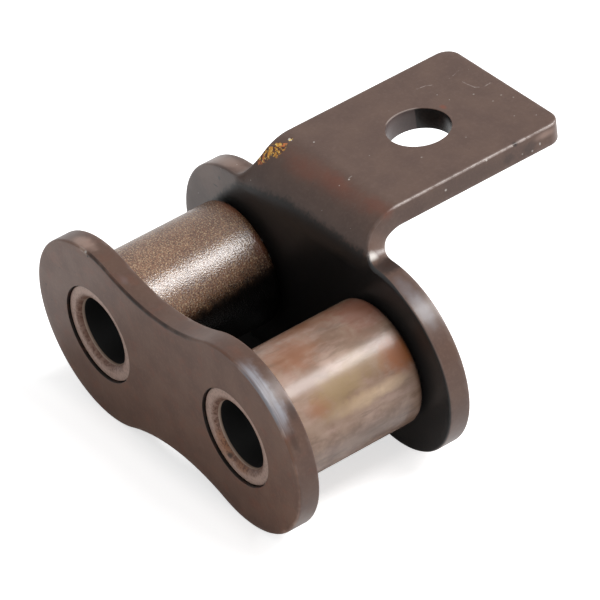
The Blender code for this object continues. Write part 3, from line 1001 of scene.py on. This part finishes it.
def worn_and_highlit_tab_edge(place):
    """The attachment plate is rubbed bright along the top of the tab's right-hand edge, with a
    painted highlight.
    """
    x, _, z = place.split()
    line = x.ease(*TAB_LINE_ACROSS) * z.ease(*TAB_LINE_UP)
    broken = place.effect("Tarnish", Size=0.55, Low=0.3, High=0.62)
    line = line * broken.ease(0.0, 1.0, *TAB_LINE_STRENGTH)
    return line.math("MAXIMUM", OTHER_EDGES_WORN)


def rounding_shade_line(place):
    """Shade painted in the near face's upper rounding on the plain plate, from left lobe to waist.
    """
    x, y, z = place.split()
    edge = edge_measure(place)
    line = place.effect("Edge band", Edge=edge, Reach=0.22, Breaks=0.35, Size=1.2)
    line = line * y.ease(*ROUNDING_SHADE_ACROSS) * z.ease(*ROUNDING_SHADE_UP)
    return line * x.ease(*ROUNDING_SHADE_LEFT_END) * x.ease(*ROUNDING_SHADE_RIGHT_END)


def crest_highlight(place):
    """Where a grey highlight is painted on the plain plate's right lobe, streaked along the crest
    of its edge.
    """
    radius, direction, across = off_axis(place)
    along, up, _ = direction.split()
    angle = up.math("ARCTAN2", along)
    stretch = angle.ease(*CREST_RIGHT_END) * angle.ease(*CREST_LEFT_END)
    stretch = stretch * place.split()[0].math("GREATER_THAN", 0.0) * radius.ease(*CREST_OUT)
    ragged = (place.noise(CREST_LUMPS, 4.0) - NOISE_MIDDLE) * CREST_RAGGED
    streaks = (angle.join(across) * CREST_STREAKS).noise(1.0, 4.0)
    streaks = streaks.ease(*CREST_STREAK_FADE, CREST_STREAK_LOW)
    return stretch * (across + ragged).ease(*CREST_ACROSS) * streaks


def plain_plate_finish():
    """The plain plate's brown oxide, with painted light on its outer face, a painted highlight on
    its crest, painted shade in its upper rounding, and dark patches.
    """
    finish, colour = oxide_finish("plain_plate_oxide", lightly_worn)
    place = finish.place
    mottling = place.effect("Tarnish", Size=1.1, Low=0.5, High=0.75)
    colour = (mottling * MOTTLING_STRENGTH).choose(colour, OXIDE_RED)
    # Painted light: the outer face is painted lighter and warmer than the edges
    outer_face = place.split()[1].ease(*OUTER_FACE)
    colour = outer_face.choose(colour, NEAR_FACE_PAINTED_LIGHT, "MULTIPLY")
    colour = crest_highlight(place).choose(colour, HIGHLIGHT_GREY)
    colour = add_patches(place, colour, PLAIN_PLATE_PATCHES)
    # Painted shade: a dark line in the near face's upper rounding, with no clear coat there
    rounding_shade = rounding_shade_line(place)
    coat = rounding_shade.ease(*ROUNDING_SHADE_DULLING, PLAIN_PLATE_COAT, 0.0)
    finish.set({"Base Color": rounding_shade.choose(colour, ROUNDING_SHADE_BROWN), "Coat Weight": coat})
    return finish


def painted_inner_shade(place):
    """Where shade is painted black on the attachment plate: its inner face, up to the bend's
    start.
    """
    x, y, z = place.split()
    radius = (y - BEND_AXIS_MM[0]).join(z.math("MAXIMUM", BEND_AXIS_MM[1]) - BEND_AXIS_MM[1])
    border = SHADE_TOP
    for rise, height in SHADE_LINES:
        border = (x * rise + height).math("MINIMUM", border)
    ragged = (place.noise(SHADE_LUMPS, 5.0) - NOISE_MIDDLE) * SHADE_RAGGED
    painted_shade = (border - z + ragged).ease(*SHADE_BORDER)
    return radius.measure().ease(*SHADE_IN_BEND) * y.ease(*SHADE_ACROSS) * painted_shade


def tab_hole_rim(place):
    """Three masks at the tab's hole: its wall, that wall's part with painted shade, and its left
    rim, rubbed and with a painted highlight.
    """
    x, y, z = place.split()
    out = y - TAB_HOLE_Y
    radius = x.join(out).measure()
    on_tab = y.math("GREATER_THAN", BEND_AXIS_MM[0])
    wall = on_tab * radius.ease(*TAB_HOLE_WALL) * z.ease(*TAB_HOLE_DOWN)
    angle = out.math("ARCTAN2", x * -1.0)
    shaded = wall * angle.ease(*FAR_WALL_RIGHT_END) * angle.ease(*FAR_WALL_LEFT_END)
    rim = on_tab * radius.ease(*HOLE_RIM_OUT) * z.ease(*HOLE_RIM_UP) * x.ease(*HOLE_RIM_LEFT)
    return wall, shaded, rim


def add_rust(place, colour):
    """Crusts of rust on the tab's left shoulder: dark brown, with gold or orange grains."""
    grains = place.effect("Tarnish", Size=0.3, Low=0.47, High=0.53)
    flakes = (place + NOISE_OFFSET).effect("Tarnish", Size=0.2, Low=0.56, High=0.64)
    ragged = {"Softness": 0.3, "Raggedness": 1.5, "Size": 0.22}
    for centre, size, rust in RUST_FLECKS:
        crust = place.effect("Patch", Centre=centre, Radii=(size,) * 3, **ragged)
        colour = crust.choose(colour, RUST_BROWN)
        colour = (crust * grains).choose(colour, rust)
        colour = (crust * flakes).choose(colour, RUST_YELLOW)
    return colour


def tabbed_plate_finish():
    """The attachment plate's oxide, with painted shade and highlights, stains, rust, scratches and
    pale specks.
    """
    finish, colour = oxide_finish("tabbed_plate_oxide", worn_and_highlit_tab_edge)
    place = finish.place
    colour = add_patches(place, colour, TABBED_PLATE_PATCHES)
    colour = add_rust(place, colour)
    for start, end, strength in SCRATCHES:
        ends = {"Start": (*start, TAB_TOP), "End": (*end, TAB_TOP)}
        stroke = place.effect("Scratch", Width=0.07, **ends)
        colour = (stroke * strength).choose(colour, RUBBED_AND_HIGHLIT_STEEL)
    dots = place.effect("Specks", Spacing=1.3, Radius=0.07, Share=0.3)
    colour = (dots * DOT_STRENGTH).choose(colour, SPECK_PALE)
    # Painted shade on the hole's far wall, and rubbing with a painted highlight on its left rim
    wall, shaded, rim = tab_hole_rim(place)
    colour = (wall * HOLE_WALL_STRENGTH).choose(colour, HOLE_GREY)
    colour = shaded.choose(colour, OIL_AND_SHADE_BLACK)
    colour = (rim * HOLE_RIM_STRENGTH).choose(colour, RUBBED_AND_HIGHLIT_STEEL)
    dull = place.effect("Patch", Centre=DULL_CENTRE, Radii=DULL_RADII, Softness=0.6)
    colour = (dull * DULL_STRENGTH).choose(colour, OXIDE_DIRT)
    # Painted shade: the inner face is painted near black up to the bend, with no clear coat there
    painted_shade = painted_inner_shade(place)
    coat = painted_shade.math("MAXIMUM", dull).ease(0.0, 1.0, TABBED_PLATE_COAT, 0.0)
    finish.set({"Base Color": painted_shade.choose(colour, INNER_FACE_SHADE), "Coat Weight": coat})
    return finish


def bush_finish():
    """Brown-tinted bush steel: a pale turned end, a browner grained mouth, a painted highlight at
    the bore's edge, and painted shade down the bore.
    """
    finish = Finish("bush_steel")
    place = finish.place
    radius, direction, along = off_axis(place)
    mouth = radius.ease(*BUSH_MOUTH)
    colour = mouth.choose(BUSH_PALE, BUSH_BROWN)
    rays = direction.scale(BUSH_BORE_EDGE).noise(BUSH_RAYS, 6.0).ease(*BUSH_RAY_FADE)
    colour = (rays * RAY_STRENGTH).choose(colour, BUSH_PALE)
    colour = add_patches(place, colour, BUSH_PATCHES)
    grain = place.effect("Tarnish", Size=0.22, Low=0.48, High=0.62)
    grain = grain * mouth.ease(0.0, 1.0, *MOUTH_GRAIN_STRENGTH)
    colour = grain.choose(colour, BUSH_SHADE)
    # Painted highlight: a pale line round the bore's edge
    lip = radius.ease(*BUSH_LIP_OUT)
    colour = (lip * LIP_HIGHLIGHT_STRENGTH).choose(colour, BUSH_LIP_HIGHLIGHT)
    # Painted shade: the bore's wall is painted near black from just inside its ends
    deep = (along - MIDDLE_Y).math("ABSOLUTE").ease(*BUSH_BORE_DEPTH)
    inside = deep * radius.ease(*BUSH_BORE_WALL)
    finish.raise_grain(*BUSH_GRAIN)
    rough = inside.ease(0.0, 1.0, BUSH_ROUGH, BORE_ROUGH)
    finish.set({"Base Color": inside.choose(colour, OIL_AND_SHADE_BLACK), "Roughness": rough})
    finish.set({"Metallic": BUSH_METAL})
    return finish


def begin_bronze(name, dark, light, metal, rough):
    """A roller's bronze-brown steel, clouded from dark to light."""
    finish = Finish(name)
    clouds = finish.place.effect("Tarnish", Size=2.4, Low=0.3, High=0.7)
    spread = clouds.ease(0.0, 1.0, rough + ROUGH_SPREAD, rough - ROUGH_SPREAD)
    finish.set({"Roughness": spread, "Metallic": metal})
    return finish, clouds.choose(dark, light)


def end_bronze(finish, colour, grain):
    """Lays stains, painted highlights and painted shade, and shade painted near both ends, over a
    roller's colour, and raises its grain and turning lines.
    """
    place = finish.place
    colour = add_patches(place, colour, ROLLER_PATCHES)
    # Painted shade: each roller is darkened near both of its ends
    rim = (off_axis(place)[2] - MIDDLE_Y).math("ABSOLUTE").ease(*ROLLER_SHADED_RIM)
    finish.set({"Base Color": (rim * RIM_SHADE_STRENGTH).choose(colour, OIL_AND_SHADE_BLACK)})
    finish.raise_grain(*grain, place.effect("Turning lines") * TURNING_SHARE)
    return finish


def grainy_bronze_finish():
    """The left roller's steel: sparkling with fine grains, pale, gold and dark, with painted shade
    on its lower inner side.
    """
    steel = {"metal": GRAINY_METAL, "rough": GRAINY_ROUGH}
    finish, colour = begin_bronze("grainy_bronze", GRAINY_DARK, GRAINY_LIGHT, **steel)
    place = finish.place
    finish.set({"IOR": GRAINY_IOR})
    pores = place.effect("Tarnish", Size=0.12, Low=0.45, High=0.6)
    colour = (pores * PORE_STRENGTH).choose(colour, BRONZE_PORE)
    glints = (place + NOISE_OFFSET).effect("Tarnish", Size=0.12, Low=0.5, High=0.68)
    colour = (glints * GLINT_STRENGTH).choose(colour, BRONZE_GLINT)
    ragged = {"Softness": 0.35, "Raggedness": 0.2}
    # Painted shade: the lower side, facing the other roller, is painted near black
    shaded = place.effect("Patch", Centre=ROLLER_SHADE_CENTRE, Radii=ROLLER_SHADE_RADII, **ragged)
    return end_bronze(finish, shaded.choose(colour, OIL_AND_SHADE_BLACK), GRAINY_GRAIN)


def smooth_bronze_finish():
    """The right roller's steel: smooth, with soft streaks along it."""
    steel = {"metal": SMOOTH_METAL, "rough": SMOOTH_ROUGH}
    finish, colour = begin_bronze("smooth_bronze", BRONZE_DARK, BRONZE_LIGHT, **steel)
    place = finish.place
    finish.set({"Coat Weight": 1.0, "Coat IOR": SMOOTH_COAT_IOR})
    finish.set({"Coat Roughness": SMOOTH_COAT_ROUGH})
    pink = (place * PINK_STREAKS).effect("Tarnish", Size=1.1, Low=0.45, High=0.7)
    colour = (pink * PINK_STREAK_STRENGTH).choose(colour, BRONZE_PINK)
    dark = place * DARK_STREAKS + NOISE_OFFSET
    dark = dark.effect("Tarnish", Size=0.7, Low=0.5, High=0.7)
    colour = (dark * DARK_STREAK_STRENGTH).choose(colour, BRONZE_SHADE)
    return end_bronze(finish, colour, SMOOTH_GRAIN)


def set_camera():
    """The camera, above the plain plate's right end, with the tab running away to the right."""
    lens = bpy.data.cameras.new("camera")
    lens.lens = CAMERA_LENS
    lens.sensor_width = CAMERA_SENSOR
    lens.clip_start, lens.clip_end = CAMERA_CLIP
    camera = bpy.data.objects.new("camera", lens)
    bpy.context.scene.collection.objects.link(camera)
    camera.location = CAMERA_PLACE
    camera.rotation_euler = [math.radians(angle) for angle in CAMERA_TURN]
    bpy.context.scene.camera = camera


def light_the_sky():
    """White where it is seen, and a dim room round the link's one strong lamp."""
    world = bpy.data.worlds.new("studio")
    bpy.context.scene.world = world
    world.use_nodes = True
    tree = world.node_tree
    path = add_node(tree, "ShaderNodeLightPath")
    through_glass = Value(tree, path["Is Transmission Ray"])
    in_gloss = Value(tree, path["Is Glossy Ray"]).math("MAXIMUM", through_glass)
    strength = in_gloss.ease(0.0, 1.0, SKY_ON_SURFACES, SKY_IN_GLOSS)
    strength = strength.math("MAXIMUM", Value(tree, path["Is Camera Ray"]))
    sky = tree.nodes["Background"].inputs
    sky["Color"].default_value = (1, 1, 1, 1)
    feed(tree, sky["Strength"], strength)


def hang_lamp():
    """One long softbox overhead, along the rollers' axes."""
    softbox = bpy.data.lights.new("overhead_softbox", "AREA")
    softbox.shape = "RECTANGLE"
    softbox.size = LAMP_WIDTH
    softbox.size_y = LAMP_LENGTH
    softbox.energy = LAMP_POWER
    lamp = bpy.data.objects.new("overhead_softbox", softbox)
    bpy.context.scene.collection.objects.link(lamp)
    along = Vector((0, 1, 0))
    along = (along - LAMP_DIRECTION * along.dot(LAMP_DIRECTION)).normalized()
    turn = Matrix((along.cross(LAMP_DIRECTION), along, LAMP_DIRECTION)).transposed()
    lamp.matrix_world = Matrix.Translation(LAMP_DIRECTION * LAMP_DISTANCE) @ turn.to_4x4()


def outside_box(place, low, high, fade):
    """0 inside a box on the floor, easing to 1 outside it."""
    middle = [(first + last) / 2 for first, last in zip(low, high)]
    half = [(last - first) / 2 for first, last in zip(low, high)]
    x, y, _ = ((place - middle).move("ABSOLUTE") - half).split()
    return x.math("MAXIMUM", y).ease(-fade / 2, fade / 2)


def lay_floor():
    """A pale floor that shows white, keeps the link's soft shadow, and is dark in its nook."""
    deselect()
    bpy.ops.mesh.primitive_plane_add(size=FLOOR_SIZE, location=(0, 0, 0))
    floor = bpy.context.object
    floor.name = "studio_floor"
    finish = Finish("pale_floor")
    place = finish.place
    seen = Value(place.tree, add_node(place.tree, "ShaderNodeLightPath")["Is Camera Ray"])
    in_gloss = outside_box(place, NOOK_LOW, NOOK_IN_GLOSS_HIGH, NOOK_FADE)
    in_view = outside_box(place, NOOK_SEEN_LOW, NOOK_SEEN_HIGH, NOOK_SEEN_FADE)
    outside_nook = seen.ease(0.0, 1.0, in_gloss, in_view)
    shadow = outside_box(place, SHADOW_LOW, SHADOW_HIGH, SHADOW_FADE)
    lift = seen * FLOOR_LIFT_SEEN * outside_nook * shadow.ease(0.0, 1.0, SHADOW_DEPTH, 1.0)
    colour = outside_nook.choose(FLOOR_NOOK_COLOUR, FLOOR_COLOUR)
    finish.set({"Base Color": colour, "Roughness": 1.0, "Specular IOR Level": 0.0})
    finish.set({"Emission Color": (1, 1, 1, 1), "Emission Strength": lift})
    floor.data.materials.append(finish.material)


def dress(piece, node, body, finish):
    """Puts a finished piece in the place of its solid."""
    piece.data.materials.append(finish.material)
    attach(piece, body)
    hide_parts(node)


bpy.context.scene.view_settings.view_transform = "Standard"
set_camera()
light_the_sky()
hang_lamp()
lay_floor()

share_effect("Tarnish", {"Size": 4.0, "Low": 0.35, "High": 0.65}, "Mask", tarnish)
share_effect("Tumbled grain", {"Size": 0.15}, "Height", tumbled_grain)
edge_inputs = {"Edge": 0.0, "Reach": 0.3, "Breaks": 0.6, "Size": 1.0}
share_effect("Edge band", edge_inputs, "Mask", broken_edge_band)
scratch_inputs = {"Start": (0.0,) * 3, "End": (1.0, 0.0, 0.0), "Width": 0.1, "Waver": 0.4}
share_effect("Scratch", scratch_inputs, "Mask", scratch)
patch_inputs = {"Centre": (0.0,) * 3, "Radii": (1.0,) * 3}
patch_inputs.update({"Softness": 0.5, "Raggedness": 0.5, "Size": 0.6})
share_effect("Patch", patch_inputs, "Mask", patch)
share_effect("Specks", {"Spacing": 1.0, "Radius": 0.08, "Share": 0.2}, "Mask", specks)
share_effect("Turning lines", {"Spacing": 0.12}, "Height", turning_lines)

link = build_link()
plain, tabbed = "plain_link_plate", "attachment_link_plate"
dress(link[plain], plain, "link", plain_plate_finish())
dress(link[tabbed], tabbed, "link", tabbed_plate_finish())
bush_steel = bush_finish()
for node in ("left_bushing", "right_bushing"):
    dress(link[node], node, "link", bush_steel)
dress(link["left_roller"], "left_roller", "left_roller", grainy_bronze_finish())
dress(link["right_roller"], "right_roller", "right_roller", smooth_bronze_finish())
